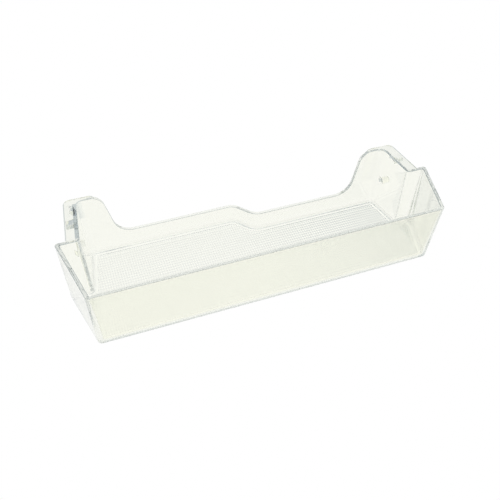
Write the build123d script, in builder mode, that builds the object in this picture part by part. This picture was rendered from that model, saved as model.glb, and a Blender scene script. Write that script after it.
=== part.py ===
"""Clear door shelf of a refrigerator: one moulded tray with two hanger ears.

Millimetres, +Z up. X runs along the shelf and the front wall faces -Y. The underside
lies on Z = 0, and the origin is the middle of the shelf's outer box on that plane.
Depths are measured back from the lower edge of the front wall.
"""

import os

from build123d import *

os.makedirs("parts", exist_ok=True)

# Heights above the underside, and thicknesses
shelf_height = 81.0
low_wall_height = 25.0
floor_thickness = 2.5
wall_thickness = 4.0

# Half length at the underside, and how far in from it the other walls stand
half_length = 209.5
front_set_in = 18.5
step_width = 21.7
ear_toe_in = 8.8

# How much each of those places grows outwards up to the rim
half_length_growth = 1.0
front_growth = 0.5
ear_growth_at_step = 0.8
ear_growth_at_back = 4.4

# Depths of the outside at the underside, and how far each wall leans by the rim
front_lean = 7.9
step_depth_left = 74.6
step_depth_right = 63.4
step_lean = 1.6
back_depth_left = 134.8
back_depth_right = 111.2
back_lean = 3.0

# Bend of the back wall between its deep left half and its shallow right half
jog_centre = 9.0
jog_run = 19.8
jog_radius = 16.0

# Upright corners: the outside keeps its radius, the inside tightens from floor to rim
front_corner_radius = 6.0
shoulder_corner_radius = 3.0
step_corner_radius = 1.5
back_corner_radius = 10.0
rim_corner_radius = 1.5

# Edges
bottom_edge_radius = 2.8
floor_inner_radius = 4.5
floor_corner_ease = 1.0
rim_edge_break = 0.6

# Low stretch of the back wall, between the curved edges of the ears
ear_width = 25.3
ear_edge_run = 13.0
ear_top_radius = 17.0
ear_foot_radius = 22.0
ear_crest = 0.2

# Hanger hood: a flat flange around the outside of each ear
hood_thickness = 2.5
hood_width_at_step = 10.2
hood_width_at_back = 9.8
hood_back_reach = 1.5
hood_corner_radius = 8.0
hood_tail = 22.0
hood_tail_taper = 6.0

# Stop lug under each hood and round peg below it, both set back from the step
lug_set_back = 23.0
lug_length = 10.3
lug_drop = 4.5
lug_set_in = 1.6
peg_set_back = 37.5
peg_height = 38.3
peg_radius = 4.0
peg_reach = 10.2
peg_edge_break = 0.8

# Raised field of the floor that carries the fine grip pattern
field_margin = 5.0
field_rise = 0.4
field_corner_radius = 2.0

overall_depth = front_lean + back_depth_left + back_lean + hood_back_reach
front_edge_y = front_lean - overall_depth / 2
ear_half_at_step = half_length - step_width
ear_half_at_back = ear_half_at_step - ear_toe_in
floor_corner_radius = floor_inner_radius + floor_corner_ease


def plan_corners(level):
    """Corners of the outside at a height, counter-clockwise from the front left."""
    rise = level / shelf_height
    front_y = front_edge_y - front_lean * rise
    step_left_y = front_edge_y + step_depth_left + step_lean * rise
    step_right_y = front_edge_y + step_depth_right + step_lean * rise
    back_left_y = front_edge_y + back_depth_left + back_lean * rise
    back_right_y = front_edge_y + back_depth_right + back_lean * rise
    front_x = half_length - front_set_in + front_growth * rise
    shoulder_x = half_length + half_length_growth * rise
    ear_step_x = ear_half_at_step + ear_growth_at_step * rise
    ear_back_x = ear_half_at_back + ear_growth_at_back * rise
    return [
        (-front_x, front_y),
        (front_x, front_y),
        (shoulder_x, step_right_y),
        (ear_step_x, step_right_y),
        (ear_back_x, back_right_y),
        (jog_centre + jog_run / 2, back_right_y),
        (jog_centre - jog_run / 2, back_left_y),
        (-ear_back_x, back_left_y),
        (-ear_step_x, step_left_y),
        (-shoulder_x, step_left_y),
    ]


def plan_radii(front, shoulder, step, back, margin):
    """Radii in the order of the corners, for a plan set in by a margin."""
    shallow_bend = jog_radius + margin
    deep_bend = jog_radius - margin
    return [front, front, shoulder, step, back, shallow_bend, deep_bend, back, step, shoulder]


def inset(corners, margin):
    """Corners of a plan moved inwards, by the same distance from each wall."""
    moved = []
    for index, corner in enumerate(corners):
        before = Vector(corner) - Vector(corners[index - 1])
        after = Vector(corners[(index + 1) % len(corners)]) - Vector(corner)
        inward_before = before.normalized().rotate(Axis.Z, 90)
        inward_after = after.normalized().rotate(Axis.Z, 90)
        reach = margin / (1 + inward_before.dot(inward_after))
        moved.append(Vector(corner) + (inward_before + inward_after) * reach)
    return moved


def ear_x(side, y, level):
    """Where the outer face of an ear stands along X, at a place along Y and a height."""
    corners = plan_corners(level)
    step_corner, back_corner = (corners[3], corners[4]) if side > 0 else (corners[8], corners[7])
    share = (y - step_corner[1]) / (back_corner[1] - step_corner[1])
    return step_corner[0] + share * (back_corner[0] - step_corner[0])


# Space inside the tray, widened where the edge of the rim is broken
with BuildPart() as inside:
    for level, upright_radius, margin in (
        (floor_thickness, floor_corner_radius, wall_thickness),
        (shelf_height - rim_edge_break, rim_corner_radius, wall_thickness),
        (shelf_height, rim_corner_radius + rim_edge_break, wall_thickness - rim_edge_break),
    ):
        inside_radii = plan_radii(
            upright_radius,
            upright_radius,
            step_corner_radius + margin,
            back_corner_radius - margin,
            margin,
        )
        with BuildSketch(Plane.XY.offset(level)):
            with BuildLine():
                FilletPolyline(*inset(plan_corners(level), margin), radius=inside_radii, close=True)
            make_face()
    loft(ruled=True)
    fillet(inside.faces().sort_by(Axis.Z)[0].edges(), radius=floor_inner_radius)

with BuildPart() as door_shelf:
    # Outside of the tray, hollowed by the space inside
    for level, margin in (
        (0, 0),
        (shelf_height - rim_edge_break, 0),
        (shelf_height, rim_edge_break),
    ):
        outside_radii = plan_radii(
            front_corner_radius - margin,
            shoulder_corner_radius - margin,
            step_corner_radius + margin,
            back_corner_radius - margin,
            margin,
        )
        with BuildSketch(Plane.XY.offset(level)):
            with BuildLine():
                FilletPolyline(
                    *inset(plan_corners(level), margin), radius=outside_radii, close=True
                )
            make_face()
    loft(ruled=True)
    fillet(door_shelf.faces().sort_by(Axis.Z)[0].edges(), radius=bottom_edge_radius)
    add(inside.part, mode=Mode.SUBTRACT)

    # Hood, stop lug and peg of each ear, rooted in the middle of its wall
    wall_middle = wall_thickness / 2
    hood_underside = Plane.XY.offset(shelf_height - hood_thickness)
    for side, step_depth, back_depth in (
        (-1, step_depth_left, back_depth_left),
        (1, step_depth_right, back_depth_right),
    ):
        step_y = front_edge_y + step_depth + step_lean
        back_y = front_edge_y + back_depth + back_lean
        root = side * wall_middle
        root_step_x = ear_x(side, step_y, shelf_height) - root
        root_back_x = ear_x(side, back_y, shelf_height) - root
        root_back_y = back_y - wall_middle

        # Hood, with a tail along the back wall
        hood_back_y = back_y + hood_back_reach
        hood_step_x = ear_x(side, step_y, shelf_height) + side * hood_width_at_step
        hood_back_x = ear_x(side, back_y, shelf_height) + side * hood_width_at_back
        tail_end = ear_half_at_back - hood_tail
        with BuildSketch(hood_underside) as hood:
            with BuildLine():
                Polyline(
                    (side * tail_end, root_back_y),
                    (root_back_x, root_back_y),
                    (root_step_x, step_y - wall_middle),
                    (hood_step_x, step_y - wall_middle),
                    (hood_step_x, step_y),
                    (hood_back_x, hood_back_y),
                    (side * (tail_end + hood_tail_taper), hood_back_y),
                    close=True,
                )
            make_face()
            outer_corner = hood.vertices().sort_by_distance((hood_back_x, hood_back_y))[0]
            fillet(outer_corner, radius=hood_corner_radius)
            root_corner = hood.vertices().sort_by_distance((root_back_x, root_back_y))[0]
            fillet(root_corner, radius=back_corner_radius - wall_middle)
        extrude(amount=hood_thickness)

        # Stop lug, parallel to the edge of the hood
        hood_slope = (hood_back_x - hood_step_x) / (hood_back_y - step_y)
        lug_front_y = step_y + lug_set_back
        lug_back_y = lug_front_y + lug_length
        lug_front_x = hood_step_x + hood_slope * lug_set_back - side * lug_set_in
        lug_back_x = lug_front_x + hood_slope * lug_length
        with BuildSketch(hood_underside):
            with BuildLine():
                Polyline(
                    (ear_x(side, lug_front_y, shelf_height) - root, lug_front_y),
                    (lug_front_x, lug_front_y),
                    (lug_back_x, lug_back_y),
                    (ear_x(side, lug_back_y, shelf_height) - root, lug_back_y),
                    close=True,
                )
            make_face()
        extrude(amount=-lug_drop)

        # Peg
        peg_y = step_y + peg_set_back
        with BuildSketch(Plane.YZ.offset(ear_x(side, peg_y, peg_height) - root)):
            with Locations((peg_y, peg_height)):
                Circle(peg_radius)
        extrude(amount=side * (peg_reach + wall_middle))
        peg_faces = door_shelf.faces(Select.LAST).filter_by(Axis.X)
        peg_end = peg_faces.sort_by(Axis((0, 0, 0), (side, 0, 0)))[-1]
        chamfer(peg_end.edges(), length=peg_edge_break)

    # Low back wall: the ears end in S-shaped edges
    crest_height = shelf_height + ear_crest
    opening_half_at_rim = ear_half_at_back - ear_width
    opening_half_at_low_wall = opening_half_at_rim - ear_edge_run
    with BuildSketch(Plane.XZ):
        with BuildLine():
            ear_edges = FilletPolyline(
                (-ear_half_at_back, crest_height),
                (-opening_half_at_rim, crest_height),
                (-opening_half_at_low_wall, low_wall_height),
                (opening_half_at_low_wall, low_wall_height),
                (opening_half_at_rim, crest_height),
                (ear_half_at_back, crest_height),
                radius=[ear_top_radius, ear_foot_radius, ear_foot_radius, ear_top_radius],
            )
            Polyline(
                ear_edges @ 1,
                (ear_half_at_back, 2 * shelf_height),
                (-ear_half_at_back, 2 * shelf_height),
                ear_edges @ 0,
            )
        make_face()
    extrude(amount=-overall_depth, mode=Mode.SUBTRACT)

    # Raised field of the floor
    field_inset = wall_thickness + field_margin
    field_radii = plan_radii(
        field_corner_radius,
        field_corner_radius,
        step_corner_radius + field_inset,
        field_corner_radius,
        field_inset,
    )
    with BuildSketch(Plane.XY.offset(floor_thickness)):
        with BuildLine():
            FilletPolyline(
                *inset(plan_corners(floor_thickness), field_inset), radius=field_radii, close=True
            )
        make_face()
    extrude(amount=field_rise)

door_shelf.part.label = "door_shelf"
export_step(door_shelf.part, "parts/door_shelf.step")
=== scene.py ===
"""Clear door shelf of a refrigerator on a white floor, seen from the front left and above.

Metres, in the frame of the solid: X along the shelf, the front wall towards -Y, Z up.
"""

import math

import bmesh
import bpy
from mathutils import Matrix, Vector


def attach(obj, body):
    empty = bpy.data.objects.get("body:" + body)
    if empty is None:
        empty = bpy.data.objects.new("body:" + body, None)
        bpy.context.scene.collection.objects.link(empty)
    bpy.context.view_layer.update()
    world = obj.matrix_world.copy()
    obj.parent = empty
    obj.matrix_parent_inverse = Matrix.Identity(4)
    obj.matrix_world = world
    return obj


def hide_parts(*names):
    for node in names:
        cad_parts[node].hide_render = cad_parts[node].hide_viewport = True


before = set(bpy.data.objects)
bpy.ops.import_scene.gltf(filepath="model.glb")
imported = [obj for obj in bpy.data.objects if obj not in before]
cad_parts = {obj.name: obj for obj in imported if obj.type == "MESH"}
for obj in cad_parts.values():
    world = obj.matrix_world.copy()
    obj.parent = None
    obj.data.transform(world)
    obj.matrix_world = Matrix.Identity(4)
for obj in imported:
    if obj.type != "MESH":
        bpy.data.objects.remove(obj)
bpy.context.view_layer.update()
scene = bpy.context.scene
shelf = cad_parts["door_shelf"]

# Mesh of the shelf: what counts as one point, as flat and as one smooth surface
WELD_GAP = 1e-6
FLAT_ANGLE = math.radians(0.3)
SMOOTH_ANGLE = math.radians(40)

# Eased edges: the top of the low back wall and the S-shaped edges of the ears
EDGE_EASE = 0.0005
EDGE_EASE_SEGMENTS = 2
EASED_ANGLE = math.radians(52)
EASED_ABOVE = 0.02
EASED_HALF = 0.17
EASED_BEHIND = 0.03

# Heights and places that mark off the rim, the front wall and its foot, and the bottom edge
RIM_LEVEL = 0.081
RIM_GAP = 1e-5
RIM_BREAK = 0.0007
FRONT_HALF = 0.187
FRONT_BACK = -0.06
FOOT_LEVEL = 0.005
BOTTOM_EDGE_LEVEL = 0.003

# Pegs: where they begin sideways and along Y, and their middle and half height
PEG_ROOT = 0.184
PEG_FRONT = 0.02
PEG_LEVEL = 0.0383
PEG_HALF = 0.0042

# How squarely a face looks along an axis, from 0 to 1, where that tells faces apart
TOP_FACING = 0.99
LEVEL_FACING = 0.95
UPWARD_FACING = 0.3
FRONT_CUT_FACING = 0.95
FRONT_FACING = 0.9
FOOT_FACING = 0.5
END_FACING = 0.8
BOTTOM_EDGE_LEAST, BOTTOM_EDGE_MOST = 0.03, 0.97

# Grip pattern: rows of small points over the raised field of the floor
FIELD_LEVEL = 0.0029
FIELD_GAP = 5e-5
GRIP_PITCH = 0.0028
GRIP_ROW_PITCH = 0.0039
GRIP_COLUMNS = 66
GRIP_ROWS = 17
GRIP_SLOPE = 0.28

# Upright corner edges of the walls: half length at the underside, and its growth up to the rim
FRONT_CORNER_HALF = 0.1910
FRONT_CORNER_GROWTH = 0.0005
SHOULDER_HALF = 0.2095
SHOULDER_GROWTH = 0.0010
EAR_STEP_HALF = 0.1878
EAR_STEP_GROWTH = 0.0008
EAR_BACK_HALF = 0.1790
EAR_BACK_GROWTH = 0.0044

# The same edges along Y: the front ones at the underside, and how each leans up to the rim
FRONT_EDGE = -0.0657
FRONT_LEAN = -0.0079
STEP_LEAN = 0.0016
BACK_LEAN = 0.0030

# Left and right side: its direction, its step and its back along Y at the underside, and how far
# the painted dark band on its ear's rim reaches past the outer face of the ear
SIDES = (
    (-1, 0.0089, 0.0691, 0.0004),
    (1, -0.0023, 0.0455, -0.0020),
)

# The painted dark bands stop before the back corners, and the hoods are parted off behind the
# steps
BAND_STOP = 0.007
STEP_GAP = 0.0003

# Hoods: width at the step and at the back, reach past the back, and strip along the outer edge
# that takes a painted dark line
HOOD_STEP_WIDTH = 0.0102
HOOD_BACK_WIDTH = 0.0098
HOOD_REACH = 0.0015
HOOD_STRIP = 0.0012

# A face belongs to a twisted wall by its depth in it, its place along it and the way it faces
WALL_DEPTH = 0.0045
WALL_OVERRUN = 0.05
WALL_MATCH = math.cos(math.radians(2))

# Painted shade and light in the plastic's tint, from dark painted edges at 0 to the lightest
# painted faces at 1
# Painted shade: dark lines on broken, eased and hood edges, darker bands on the rims, hoods, end
# walls and front foot
BREAK_PAINTED_SHADE = 0.08
EAR_RIM_PAINTED_SHADE = 0.08
HOOD_EDGE_PAINTED_SHADE = 0.2
EDGE_PAINTED_SHADE = 0.25
FOOT_PAINTED_SHADE = 0.55
END_RIM_PAINTED_SHADE = 0.7
HOOD_PAINTED_SHADE = 0.8
END_PAINTED_SHADE = 0.8
# The plastic's own tint on the plain faces
PLAIN_SHADE = 0.93
# Painted light: the front wall and the pegs lighter than the plain faces
FRONT_PAINTED_LIGHT = 1.0
PEG_PAINTED_LIGHT = 1.0

# Painted light and shade on the grip pattern: facets facing front and back painted light, those
# facing the ends painted dark, and darker still towards the right end, by so much a metre
GRIP_PAINTED_LIGHT = 0.97
GRIP_PAINTED_SHADE = 0.68
GRIP_PAINTED_FADE = 1.9

# Frost: roughness added on the front wall and around the bottom edge
FRONT_FROST = 0.07
BOTTOM_EDGE_FROST = 0.25

# Plastic: the tint that painted shade darkens towards, its own pale tint on the lightest faces,
# tint by depth, gloss and slight waviness
PAINTED_SHADE_TINT = (0.30, 0.36, 0.38, 1)
LIGHT_TINT = (1, 1, 0.925, 1)
DEPTH_TINT = (0.40, 0.48, 0.52, 1)
DEPTH_DENSITY = 2.5
PLASTIC_IOR = 1.57
CLOUD_SCALE = 40
CLOUD_DETAIL = 3
LEAST_ROUGHNESS = 0.025
MOST_ROUGHNESS = 0.065
WAVE_STRENGTH = 0.1
WAVE_HEIGHT = 0.0002

# Floor and light: the sky is greyer towards the two ends of the shelf
FLOOR_SIZE = 6
FLOOR_LEVEL = -0.0005
FLOOR_PAINT = (0.9, 0.9, 0.9, 1)
FLOOR_WHITE = (1, 1, 1, 1)
SKY_FRONT = (0.97, 0.98, 0.98, 1)
SKY_ENDS = (0.55, 0.6, 0.65, 1)
LIGHT_PLACE = Vector((0, 0.1, 1.4))
LIGHT_TARGET = Vector((0, 0, 0))
LIGHT_WIDTH = 2.6
LIGHT_HEIGHT = 2.2
LIGHT_POWER = 4

# Camera, and how many times light may bend or bounce in the plastic
EYE = Vector((-0.17335, -0.46401, 0.51366))
LOOK = Vector((-0.00627, -0.0057, 0.01953))
LENS = 43.92
SENSOR = 36
ROLL = math.radians(0.51)
BOUNCES = 128

# Sockets of a colour mix node, which share their names with those of its other kinds
MIX_SHARE, MIX_FIRST, MIX_SECOND, MIX_RESULT = 0, 6, 7, 2


def new_material(name):
    """Make an empty material; return it with its nodes and links."""
    material = bpy.data.materials.new(name)
    material.use_nodes = True
    nodes = material.node_tree.nodes
    nodes.clear()
    return material, nodes, material.node_tree.links


def new_math(nodes, operation):
    node = nodes.new("ShaderNodeMath")
    node.operation = operation
    return node


def new_mix(nodes, first, second):
    """Make a mix of two colours."""
    node = nodes.new("ShaderNodeMix")
    node.data_type = "RGBA"
    node.inputs[MIX_FIRST].default_value = first
    node.inputs[MIX_SECOND].default_value = second
    return node


def new_attribute(nodes, name):
    node = nodes.new("ShaderNodeAttribute")
    node.attribute_name = name
    return node


def add_facing(name, data, place, target):
    """Add a lamp or a camera at a place, facing a target."""
    holder = bpy.data.objects.new(name, data)
    scene.collection.objects.link(holder)
    holder.location = place
    holder.rotation_euler = (target - place).to_track_quat("-Z", "Y").to_euler()
    return holder


def select_faces(wanted):
    """Select, in edit mode, the faces of the shelf body whose middle and normal are wanted."""
    bpy.ops.mesh.select_all(action="DESELECT")
    form = bmesh.from_edit_mesh(body.data)
    for face in form.faces:
        if wanted(face.calc_center_median(), face.normal):
            face.select_set(True)
    bmesh.update_edit_mesh(body.data)


def cut_visible(place, facing):
    """Cut every face that is not hidden along a plane."""
    bpy.ops.mesh.select_all(action="SELECT")
    bpy.ops.mesh.bisect(plane_co=place, plane_no=facing)


def is_eased(edge):
    """Whether an edge is a sharp outer edge of the back wall."""
    on_back_wall = all(
        abs(vertex.co.x) < EASED_HALF and vertex.co.y > EASED_BEHIND and vertex.co.z > EASED_ABOVE
        for vertex in edge.verts
    )
    return on_back_wall and edge.is_convex and edge.calc_face_angle() > EASED_ANGLE


def is_narrow(face):
    """Whether a face of the shelf body is narrower than the ease of an edge."""
    ring = [body.data.vertices[index].co for index in face.vertices]
    around = sum((ring[index] - ring[index - 1]).length for index in range(len(ring)))
    return 2 * face.area < EDGE_EASE * around


def corner_edge(direction, half, growth, depth, lean):
    """Lower and upper end of an upright corner edge of the walls."""
    lower = Vector((direction * half, depth, 0))
    upper = Vector((direction * (half + growth), depth + lean, RIM_LEVEL))
    return lower, upper


def is_inside(line, x, y):
    """Whether a place lies nearer the middle of the shelf than a line."""
    step_end, back_end = line
    share = (y - step_end.y) / (back_end.y - step_end.y)
    return abs(x) < abs(step_end.x + share * (back_end.x - step_end.x))


def wall_at(wall, place):
    """Point, share of the way along and normal of a twisted wall's outside, level with a place."""
    (near_low, near_high), (far_low, far_high) = wall
    rise = place.z / RIM_LEVEL
    near = near_low.lerp(near_high, rise)
    far = far_low.lerp(far_high, rise)
    share = (place.y - near.y) / (far.y - near.y)
    lean = (near_high - near_low).lerp(far_high - far_low, share)
    return near.lerp(far, share), share, (far - near).cross(lean).normalized()


def grip_painted_shade(face):
    """Painted shade of a facet of the grip pattern: painted dark where it faces the ends of the
    shelf, painted light where it faces front or back.
    """
    if abs(face.normal.y) > abs(face.normal.x):
        return GRIP_PAINTED_LIGHT
    return GRIP_PAINTED_SHADE - GRIP_PAINTED_FADE * max(face.center.x, 0)


def rim_painted_shade(face):
    """Painted shade of an upward face of the rim, its broken edges or the hoods; the front rim
    keeps the plain tint.
    """
    x, y, _ = face.center
    side = 0 if x < 0 else 1
    step_end, back_end = band_lines[side]
    if y < FRONT_BACK:
        return PLAIN_SHADE
    if face.normal.z < LEVEL_FACING:
        return BREAK_PAINTED_SHADE
    if y < step_end.y:
        return END_RIM_PAINTED_SHADE
    if is_inside(band_lines[side], x, y) and y < back_end.y - BAND_STOP:
        return EAR_RIM_PAINTED_SHADE
    return HOOD_PAINTED_SHADE if is_inside(hood_lines[side], x, y) else HOOD_EDGE_PAINTED_SHADE


def painted_shade_and_frost(face):
    """Painted shade or light, or the plain tint, and frost of a face of the shelf body, by its
    place and the way it faces.
    """
    x, y, z = face.center
    normal = face.normal
    at_front = y < FRONT_BACK and abs(x) < FRONT_HALF
    if z > RIM_LEVEL - RIM_BREAK and normal.z > UPWARD_FACING:
        return rim_painted_shade(face), 0
    # Pegs: painted light, lighter than the plain faces
    if abs(x) > PEG_ROOT and y > PEG_FRONT and abs(z - PEG_LEVEL) < PEG_HALF:
        return PEG_PAINTED_LIGHT, 0
    # Foot strip of the front wall: painted shade
    if at_front and z < FOOT_LEVEL and normal.y < -FOOT_FACING:
        return FOOT_PAINTED_SHADE, 0
    # Front wall: painted light, lighter than the plain faces, and frosted
    if at_front and abs(normal.y) > FRONT_FACING:
        return FRONT_PAINTED_LIGHT, FRONT_FROST
    if z < BOTTOM_EDGE_LEVEL and BOTTOM_EDGE_LEAST < -normal.z < BOTTOM_EDGE_MOST:
        return PLAIN_SHADE, BOTTOM_EDGE_FROST
    # End walls: painted shade, darker than the plain faces
    if abs(x) > FRONT_HALF and abs(normal.x) > END_FACING:
        return END_PAINTED_SHADE, 0
    return PLAIN_SHADE, 0


# Lines over each ear and hood at the rim, from the step to the back, that bound the painted dark
# bands and strips, and the twisted walls
band_lines = []
hood_lines = []
twisted_walls = []
for direction, step_depth, back_depth, band_reach in SIDES:
    step_half = EAR_STEP_HALF + EAR_STEP_GROWTH
    back_half = EAR_BACK_HALF + EAR_BACK_GROWTH
    step_y = step_depth + STEP_LEAN
    back_y = back_depth + BACK_LEAN
    band_step = Vector((direction * (step_half + band_reach), step_y, 0))
    band_back = Vector((direction * (back_half + band_reach), back_y, 0))
    band_lines.append((band_step, band_back))

    hood_step_half = step_half + HOOD_STEP_WIDTH - HOOD_STRIP
    hood_back_half = back_half + HOOD_BACK_WIDTH - HOOD_STRIP
    hood_step = Vector((direction * hood_step_half, step_y, 0))
    hood_back = Vector((direction * hood_back_half, back_y + HOOD_REACH, 0))
    hood_lines.append((hood_step, hood_back))

    ear_step = corner_edge(direction, EAR_STEP_HALF, EAR_STEP_GROWTH, step_depth, STEP_LEAN)
    ear_back = corner_edge(direction, EAR_BACK_HALF, EAR_BACK_GROWTH, back_depth, BACK_LEAN)
    shoulder = corner_edge(direction, SHOULDER_HALF, SHOULDER_GROWTH, step_depth, STEP_LEAN)
    front = corner_edge(direction, FRONT_CORNER_HALF, FRONT_CORNER_GROWTH, FRONT_EDGE, FRONT_LEAN)
    twisted_walls.append((ear_step, ear_back))
    twisted_walls.append((front, shoulder))

# Shelf body: a joined copy of the shelf, its flat faces whole again
bpy.ops.object.select_all(action="DESELECT")
body = bpy.data.objects.new("shelf_body", shelf.data.copy())
scene.collection.objects.link(body)
bpy.context.view_layer.objects.active = body
body.select_set(True)
bpy.ops.object.mode_set(mode="EDIT")
bpy.ops.mesh.select_mode(type="FACE")
bpy.ops.mesh.select_all(action="SELECT")
bpy.ops.mesh.remove_doubles(threshold=WELD_GAP)
bpy.ops.mesh.select_all(action="SELECT")
bpy.ops.mesh.dissolve_limited(angle_limit=FLAT_ANGLE)

# Eased edges, remembered by the painted shade of their narrow faces, which are painted dark as
# edge lines
bpy.ops.mesh.select_mode(type="EDGE")
bpy.ops.mesh.select_all(action="DESELECT")
form = bmesh.from_edit_mesh(body.data)
for edge in form.edges:
    if is_eased(edge):
        edge.select_set(True)
bmesh.update_edit_mesh(body.data)
bpy.ops.mesh.bevel(
    offset=EDGE_EASE, segments=EDGE_EASE_SEGMENTS, affect="EDGES", clamp_overlap=False
)
bpy.ops.mesh.select_mode(type="FACE")
bpy.ops.object.mode_set(mode="OBJECT")
tint_and_painted_shade = body.data.attributes.new("tint_and_painted_shade", "FLOAT", "FACE")
for face, tone in zip(body.data.polygons, tint_and_painted_shade.data):
    if face.select and is_narrow(face):
        tone.value = EDGE_PAINTED_SHADE
bpy.ops.object.mode_set(mode="EDIT")

# Foot strip of the front wall, cut off to take a painted shade
select_faces(lambda middle, normal: middle.y < FRONT_BACK and normal.y < -FRONT_CUT_FACING)
bpy.ops.mesh.bisect(plane_co=(0, 0, FOOT_LEVEL), plane_no=(0, 0, 1))

# Rim, parted between the front, the ends, the ears, the hoods and the outer edges of the hoods, so
# that each part takes its own painted shade
select_faces(lambda middle, normal: middle.z > RIM_LEVEL - RIM_GAP and normal.z > TOP_FACING)
bpy.ops.mesh.hide(unselected=True)
cut_visible((0, FRONT_BACK, 0), (0, 1, 0))
for step_end, back_end in band_lines + hood_lines:
    cut_visible(step_end, (back_end - step_end).cross(Vector((0, 0, 1))).normalized())
for step_end, back_end in band_lines:
    cut_visible((0, step_end.y + STEP_GAP, 0), (0, 1, 0))
    cut_visible((0, back_end.y - BAND_STOP, 0), (0, 1, 0))
bpy.ops.mesh.reveal(select=False)

# Grip pattern: the raised field cut into small cells, each drawn up to a point
select_faces(
    lambda middle, normal: abs(middle.z - FIELD_LEVEL) < FIELD_GAP and normal.z > TOP_FACING
)
bpy.ops.mesh.hide(unselected=True)
for step in range(-GRIP_COLUMNS, GRIP_COLUMNS + 1):
    cut_visible((step * GRIP_PITCH, 0, 0), (1, 0, 0))
for step in range(-GRIP_ROWS, GRIP_ROWS + 1):
    cut_visible((0, step * GRIP_ROW_PITCH, 0), (0, 1, 0))
bpy.ops.mesh.select_all(action="SELECT")
bpy.ops.mesh.poke(offset=GRIP_SLOPE, use_relative_offset=True)
bpy.ops.mesh.mark_sharp()
bpy.ops.mesh.reveal(select=False)
bpy.ops.object.mode_set(mode="OBJECT")

# Painted shade or light, or the plain tint, and frost of every face but the eased edges; the grip
# pattern is still selected
frost = body.data.attributes.new("frost", "FLOAT", "FACE")
tint_and_painted_shade = body.data.attributes["tint_and_painted_shade"]
for face, tone, matt in zip(body.data.polygons, tint_and_painted_shade.data, frost.data):
    if face.select:
        tone.value = grip_painted_shade(face)
    elif tone.value == 0:
        tone.value, matt.value = painted_shade_and_frost(face)

# Smooth shading, where the large faces of the twisted walls take the wall's own normals
bpy.ops.object.shade_smooth_by_angle(angle=SMOOTH_ANGLE)
even = body.modifiers.new("even shading", "WEIGHTED_NORMAL")
even.keep_sharp = True
bpy.ops.object.modifier_apply(modifier=even.name)
normals = [Vector(corner.vector) for corner in body.data.corner_normals]
for face in body.data.polygons:
    for wall in twisted_walls:
        point, share, normal = wall_at(wall, face.center)
        along_wall = -WALL_OVERRUN < share < 1 + WALL_OVERRUN
        in_wall = abs((face.center - point).dot(normal)) < WALL_DEPTH
        facing = face.normal.dot(normal)
        if along_wall and in_wall and abs(facing) > WALL_MATCH:
            for index in face.loop_indices:
                corner = body.data.vertices[body.data.loops[index].vertex_index].co
                normals[index] = wall_at(wall, corner)[2] * math.copysign(1, facing)
body.data.normals_split_custom_set(normals)
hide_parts("door_shelf")
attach(body, "root")

# Clear plastic: pale straw tint with shade painted into it by a face attribute (dark at the edges
# and rims, lighter on the front wall), and a slightly uneven moulded gloss
plastic, nodes, links = new_material("clear plastic")
output = nodes.new("ShaderNodeOutputMaterial")
shader = nodes.new("ShaderNodeBsdfPrincipled")
shader.inputs["IOR"].default_value = PLASTIC_IOR
shader.inputs["Transmission Weight"].default_value = 1
links.new(shader.outputs["BSDF"], output.inputs["Surface"])

# Painted shade: the face attribute mixes the plastic's tint towards the dark tint
painted_shade_attribute = new_attribute(nodes, "tint_and_painted_shade")
painted_shade_mix = new_mix(nodes, PAINTED_SHADE_TINT, LIGHT_TINT)
links.new(painted_shade_attribute.outputs["Fac"], painted_shade_mix.inputs[MIX_SHARE])
links.new(painted_shade_mix.outputs[MIX_RESULT], shader.inputs["Base Color"])

place = nodes.new("ShaderNodeTexCoord")
cloud = nodes.new("ShaderNodeTexNoise")
cloud.inputs["Scale"].default_value = CLOUD_SCALE
cloud.inputs["Detail"].default_value = CLOUD_DETAIL
links.new(place.outputs["Object"], cloud.inputs["Vector"])

gloss = nodes.new("ShaderNodeMapRange")
gloss.inputs["To Min"].default_value = LEAST_ROUGHNESS
gloss.inputs["To Max"].default_value = MOST_ROUGHNESS
face_frost = new_attribute(nodes, "frost")
rough = new_math(nodes, "ADD")
links.new(cloud.outputs["Fac"], gloss.inputs["Value"])
links.new(gloss.outputs["Result"], rough.inputs[0])
links.new(face_frost.outputs["Fac"], rough.inputs[1])
links.new(rough.outputs["Value"], shader.inputs["Roughness"])

wave = nodes.new("ShaderNodeBump")
wave.inputs["Strength"].default_value = WAVE_STRENGTH
wave.inputs["Distance"].default_value = WAVE_HEIGHT
links.new(cloud.outputs["Fac"], wave.inputs["Height"])
links.new(wave.outputs["Normal"], shader.inputs["Normal"])

depth_tint = nodes.new("ShaderNodeVolumeAbsorption")
depth_tint.inputs["Color"].default_value = DEPTH_TINT
depth_tint.inputs["Density"].default_value = DEPTH_DENSITY
links.new(depth_tint.outputs["Volume"], output.inputs["Volume"])
body.data.materials.clear()
body.data.materials.append(plastic)

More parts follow.
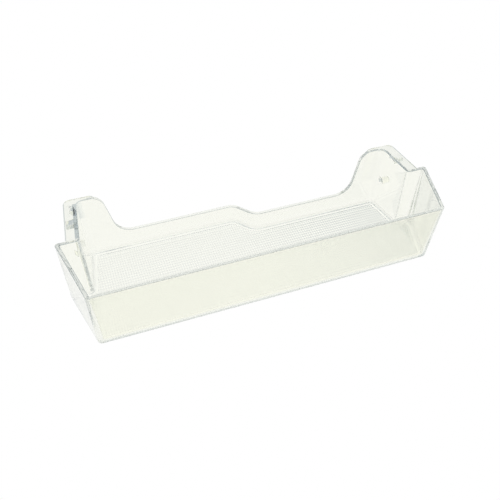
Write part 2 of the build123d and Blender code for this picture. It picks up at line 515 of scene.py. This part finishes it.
# White floor: white to the eye and through the plastic, plain white paint for the light
paint, nodes, links = new_material("white floor")
output = nodes.new("ShaderNodeOutputMaterial")
mix = nodes.new("ShaderNodeMixShader")
diffuse = nodes.new("ShaderNodeBsdfDiffuse")
diffuse.inputs["Color"].default_value = FLOOR_PAINT
glow = nodes.new("ShaderNodeEmission")
glow.inputs["Color"].default_value = FLOOR_WHITE
glow.inputs["Strength"].default_value = 1
rays = nodes.new("ShaderNodeLightPath")
seen = new_math(nodes, "MAXIMUM")
seen_too = new_math(nodes, "MAXIMUM")
links.new(rays.outputs["Is Camera Ray"], seen.inputs[0])
links.new(rays.outputs["Is Glossy Ray"], seen.inputs[1])
links.new(seen.outputs["Value"], seen_too.inputs[0])
links.new(rays.outputs["Is Transmission Ray"], seen_too.inputs[1])
links.new(seen_too.outputs["Value"], mix.inputs["Fac"])
links.new(diffuse.outputs["BSDF"], mix.inputs[1])
links.new(glow.outputs["Emission"], mix.inputs[2])
links.new(mix.outputs["Shader"], output.inputs["Surface"])
bpy.ops.mesh.primitive_plane_add(size=FLOOR_SIZE, location=(0, 0, FLOOR_LEVEL))
floor = bpy.context.object
floor.name = "floor"
floor.data.materials.append(paint)

# Soft studio light
world = bpy.data.worlds.new("studio")
scene.world = world
world.use_nodes = True
nodes = world.node_tree.nodes
links = world.node_tree.links
sky = nodes["Background"]
sky.inputs["Strength"].default_value = 1
sky_direction = nodes.new("ShaderNodeTexCoord")
parts = nodes.new("ShaderNodeSeparateXYZ")
sideways = new_math(nodes, "ABSOLUTE")
sky_colour = new_mix(nodes, SKY_FRONT, SKY_ENDS)
links.new(sky_direction.outputs["Generated"], parts.inputs["Vector"])
links.new(parts.outputs["X"], sideways.inputs[0])
links.new(sideways.outputs["Value"], sky_colour.inputs[MIX_SHARE])
links.new(sky_colour.outputs[MIX_RESULT], sky.inputs["Color"])

light_data = bpy.data.lights.new("top light", "AREA")
light_data.shape = "RECTANGLE"
light_data.size = LIGHT_WIDTH
light_data.size_y = LIGHT_HEIGHT
light_data.energy = LIGHT_POWER
add_facing("top light", light_data, LIGHT_PLACE, LIGHT_TARGET)

# Camera
camera_data = bpy.data.cameras.new("camera")
camera_data.sensor_width = SENSOR
camera_data.lens = LENS
camera = add_facing("camera", camera_data, EYE, LOOK)
camera.rotation_euler.rotate_axis("Z", ROLL)
scene.camera = camera

scene.view_settings.view_transform = "Standard"
scene.cycles.max_bounces = BOUNCES
scene.cycles.glossy_bounces = BOUNCES
scene.cycles.transmission_bounces = BOUNCES
